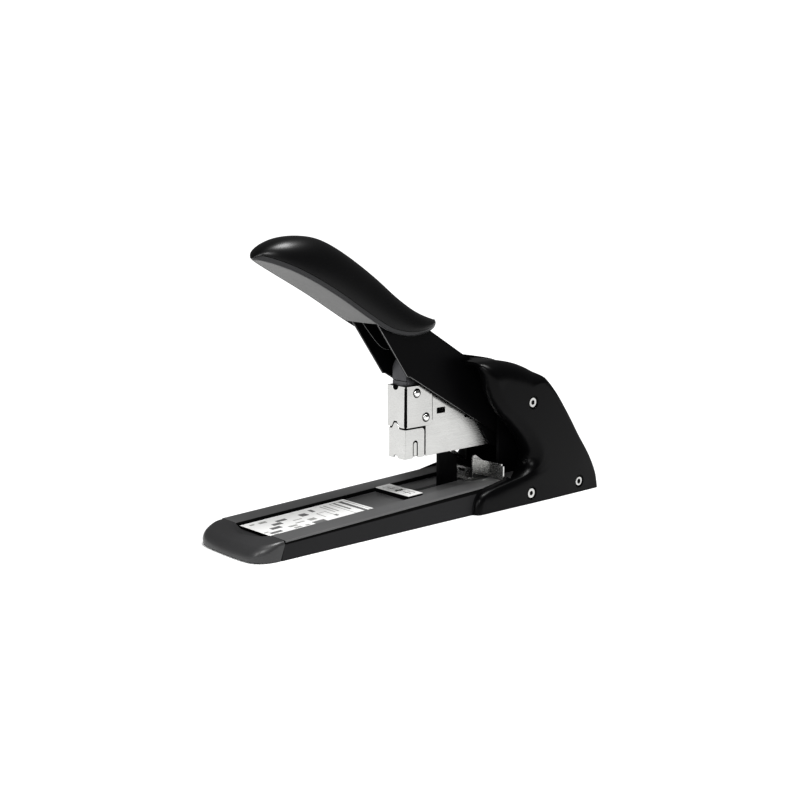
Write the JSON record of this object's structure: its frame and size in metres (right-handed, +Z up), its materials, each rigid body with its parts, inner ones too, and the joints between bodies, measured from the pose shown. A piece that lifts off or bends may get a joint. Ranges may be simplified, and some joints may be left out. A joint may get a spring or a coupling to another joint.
{
  "type": "heavy-duty stapler",
  "caption": "Long-lever stapler on a flat base: the lever lowers a front magazine to an anvil, and a driver pushes the staple through.",
  "frame": {"origin": "middle of the footprint on the surface the stapler stands on", "axes": "+Y from the nose of the base to the rear housing, +X across the width to the user's right when seen from the nose side looking along +Y, +Z up"},
  "size_m": [0.072, 0.276, 0.172],
  "materials": {
    "gloss_black": "polished black moulding",
    "satin_black": "semi-gloss black paint",
    "rim_grey": "satin dark grey moulding",
    "nose_grey": "matt dark grey moulding",
    "insert_grey": "fine textured mid grey moulding",
    "nickel": "satin nickel plate",
    "zinc_steel": "zinc plated",
    "dark_steel": "oiled dark steel",
    "label": "coated paper",
    "rubber": "matt black"
  },
  "bodies": {
    "base": {"nose_cap": "nose_grey", "base_skirt": "satin_black", "base_tray": "satin_black", "instruction_label": "label", "anvil_plate": "nickel", "paper_back_stop": "nickel", "rubber_foot_1": "rubber", "rubber_foot_2": "rubber", "rubber_foot_3": "rubber", "rubber_foot_4": "rubber", "housing_shell_right": "gloss_black", "housing_shell_left": "gloss_black", "housing_spine": "gloss_black", "frame_bracket": "satin_black", "lever_axle": "zinc_steel", "magazine_axle": "zinc_steel", "front_cross_rod": "zinc_steel", "rear_cross_rod": "zinc_steel", "axle_screw_right": "nickel", "axle_screw_left": "nickel", "front_screw_right": "nickel", "front_screw_left": "nickel", "rear_screw_right": "nickel", "rear_screw_left": "nickel", "lever_return_spring": "dark_steel"},
    "lever": {"grip_top": "gloss_black", "grip_rim": "rim_grey", "grip_underside": "insert_grey", "lever_arm": "satin_black", "lever_presser": "dark_steel", "grip_pin_1": "zinc_steel", "grip_pin_2": "zinc_steel"},
    "magazine": {"magazine_channel": "nickel", "upper_cap": "nickel", "cap_rivet_1": "nickel", "cap_rivet_2": "nickel", "cap_rivet_3": "nickel", "cap_rivet_4": "nickel", "lower_cap": "nickel", "staple_rail": "zinc_steel", "staple_strip": "nickel", "pusher_spring": "dark_steel", "magazine_carrier": "satin_black"},
    "driver": {"driver_ram": "dark_steel", "driver_blade": "zinc_steel"},
    "pusher": {"staple_pusher": "dark_steel"},
    "paper_stop": {"depth_stop": "gloss_black"}
  },
  "joints": [
    {"name": "lever_hinge", "type": "hinge", "parent": "base", "child": "lever", "pos_m": [0, 0.071, 0.0654], "axis": [1, 0, 0], "range_deg": [0, 27], "stiffness_Nm_per_rad": 2, "springref_deg": -22.92},
    {"name": "magazine_hinge", "type": "hinge", "parent": "base", "child": "magazine", "pos_m": [0, 0.1075, 0.034], "axis": [1, 0, 0], "range_deg": [0, 9.05]},
    {"name": "driver_slide", "type": "slide", "parent": "magazine", "child": "driver", "axis": [0, 0, -1], "range_m": [0, 0.0198]},
    {"name": "pusher_slide", "type": "slide", "parent": "magazine", "child": "pusher", "axis": [0, 1, 0], "range_m": [0, 0.036], "stiffness_N_per_m": 80, "springref_m": -0.03},
    {"name": "paper_stop_slide", "type": "slide", "parent": "base", "child": "paper_stop", "axis": [0, 0.9993, 0.037], "range_m": [-0.018, 0.001]}
  ],
  "couplings": [
    {"joint": "magazine_hinge", "follows": "lever_hinge", "ratio": 0.33333},
    {"joint": "driver_slide", "follows": "lever_hinge", "m_per_rad": 0.041755}
  ]
}
